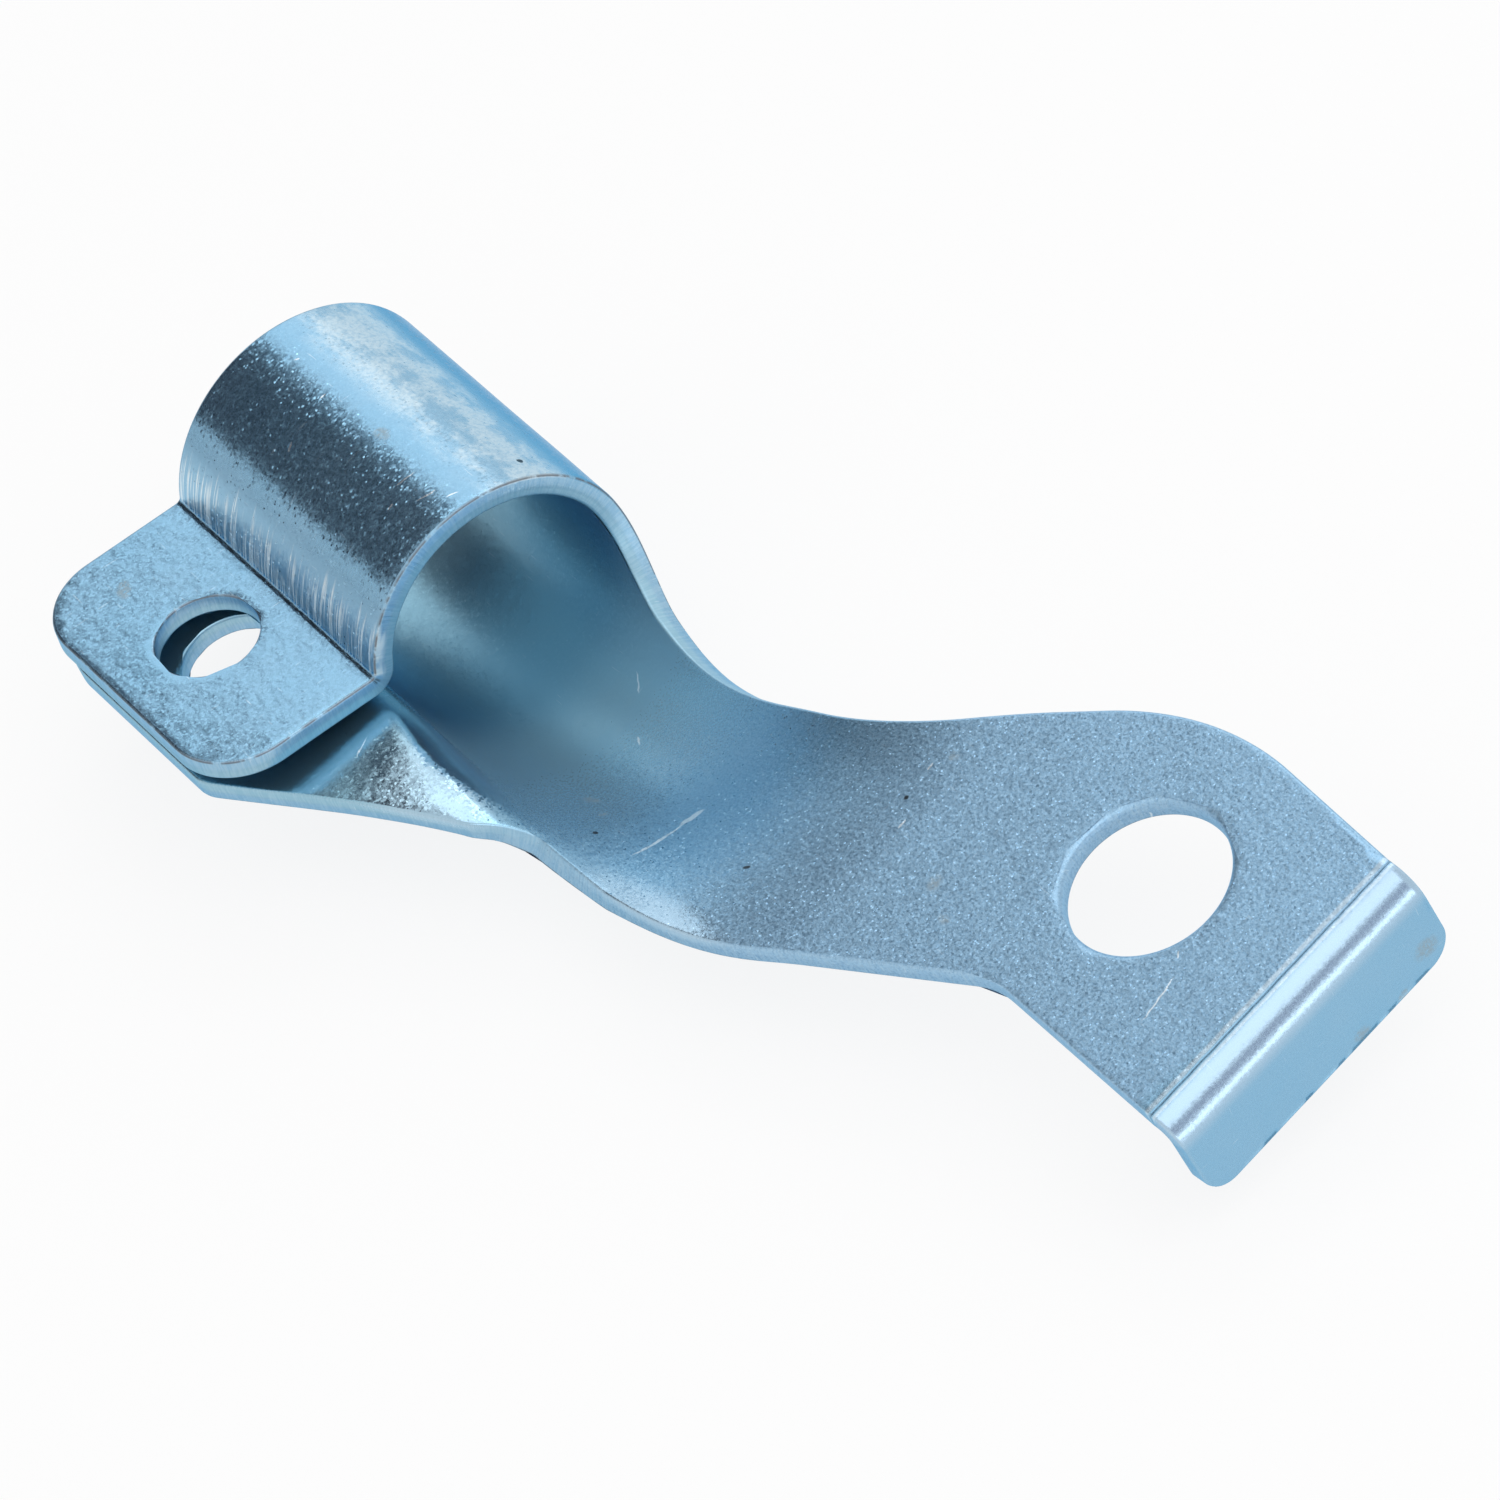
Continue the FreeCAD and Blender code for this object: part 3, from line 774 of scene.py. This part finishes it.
for kind in ("Is Glossy Ray", "Is Transmission Ray"):
    either = sheet_tree.nodes.new("ShaderNodeMath")
    either.operation = "MAXIMUM"
    sheet_tree.links.new(seen, either.inputs[0])
    sheet_tree.links.new(ray.outputs[kind], either.inputs[1])
    seen = either.outputs[0]
part_seen = sheet_tree.nodes.new("ShaderNodeMath")
part_seen.operation = "MULTIPLY"
part_seen.inputs[1].default_value = 0.85
both = sheet_tree.nodes.new("ShaderNodeMixShader")
sheet_tree.links.new(seen, part_seen.inputs[0])
sheet_tree.links.new(part_seen.outputs[0], both.inputs[0])
sheet_tree.links.new(fibre.outputs[0], both.inputs[1])
sheet_tree.links.new(bright.outputs[0], both.inputs[2])
sheet_tree.links.new(both.outputs[0], sheet_tree.nodes["Material Output"].inputs["Surface"])
paper_mesh.materials.append(white)


# Studio light: a white room, with softboxes overhead, behind the round and its right side, and
# low in front of the lip. Black and grey cards, held closer, give the metal its dark bands.
room = bpy.data.worlds.new("white_room")
bpy.context.scene.world = room
room.use_nodes = True
room.node_tree.nodes["Background"].inputs["Color"].default_value = (1, 1, 1, 1)
room.node_tree.nodes["Background"].inputs["Strength"].default_value = 0.9
# All of them face the middle of the round, here in the frame in metres
round_middle = Vector((-0.063, -0.014, -0.0015))


def toward(azimuth, elevation):
    # Direction from the round, in degrees
    azimuth, elevation = math.radians(azimuth), math.radians(elevation)
    return Vector((math.cos(azimuth) * math.cos(elevation),
                   math.sin(azimuth) * math.cos(elevation), math.sin(elevation)))


def held(title, thing, start, end, distance):
    # Holds a card or softbox at that distance in metres, its length from one direction to
    # the other
    start, end = toward(*start), toward(*end)
    out = (start + end).normalized()
    length = (end - start).normalized()
    hung = bpy.data.objects.new(title, thing)
    turn = Matrix((length, out.cross(length), out)).transposed()
    hung.matrix_world = Matrix.Translation(round_middle + out * distance) @ turn.to_4x4()
    bpy.context.scene.collection.objects.link(hung)
    return hung, start.angle(end)


def softbox(title, start, end, distance, width, glow):
    # glow is how bright its face looks, 1 being white; width is in degrees
    lamp = bpy.data.lights.new(title, "AREA")
    lamp.shape = "RECTANGLE"
    _, angle = held(title, lamp, start, end, distance)
    lamp.size = 2 * distance * math.tan(angle / 2)
    lamp.size_y = 2 * distance * math.tan(math.radians(width) / 2)
    lamp.energy = glow * math.pi * lamp.size * lamp.size_y


def card(title, start, end, distance, width, shade):
    # Only the metal sees the cards, not the camera
    length = 2 * distance * math.tan(toward(*start).angle(toward(*end)) / 2)
    width = 2 * distance * math.tan(math.radians(width) / 2)
    sheet = bpy.data.meshes.new(title)
    sheet.from_pydata([(i * length / 2, j * width / 2, 0) for i, j in sheet_corners],
                      [], [(0, 1, 2, 3)])
    board = bpy.data.materials.new(title)
    board.use_nodes = True
    board.node_tree.nodes["Principled BSDF"].inputs["Base Color"].default_value = (*shade, 1)
    board.node_tree.nodes["Principled BSDF"].inputs["Roughness"].default_value = 1.0
    sheet.materials.append(board)
    standing, _ = held(title, sheet, start, end, distance)
    standing.visible_camera = False


softbox("overhead_softbox", (10, 47), (180, 84), 1.0, 44, 0.7)
softbox("high_side_softbox", (110, 46), (140, 50), 1.0, 13, 1.8)
softbox("high_rear_softbox", (140, 52), (172, 59), 1.0, 10, 0.9)
softbox("rear_softbox", (138, 27), (168, 40), 1.0, 26, 0.36)
softbox("low_softbox", (-20, 5), (38, 5), 0.7, 14, 1.3)
card("black_card", (-136, 18), (172, 47), 0.6, 31, (0.016, 0.014, 0.028))
card("fold_card", (174, 40), (172, 51), 0.5, 10, (0.03, 0.05, 0.08))
card("rear_grey_card", (-146, 8), (177, 20), 0.66, 20, (0.40, 0.42, 0.46))
card("side_grey_card", (-142, -4), (-120, 4), 0.7, 18, (0.5, 0.52, 0.55))
card("front_grey_card", (-20, 27), (34, 27), 0.7, 20, (0.56, 0.56, 0.64))

bpy.context.scene.view_settings.view_transform = "Standard"
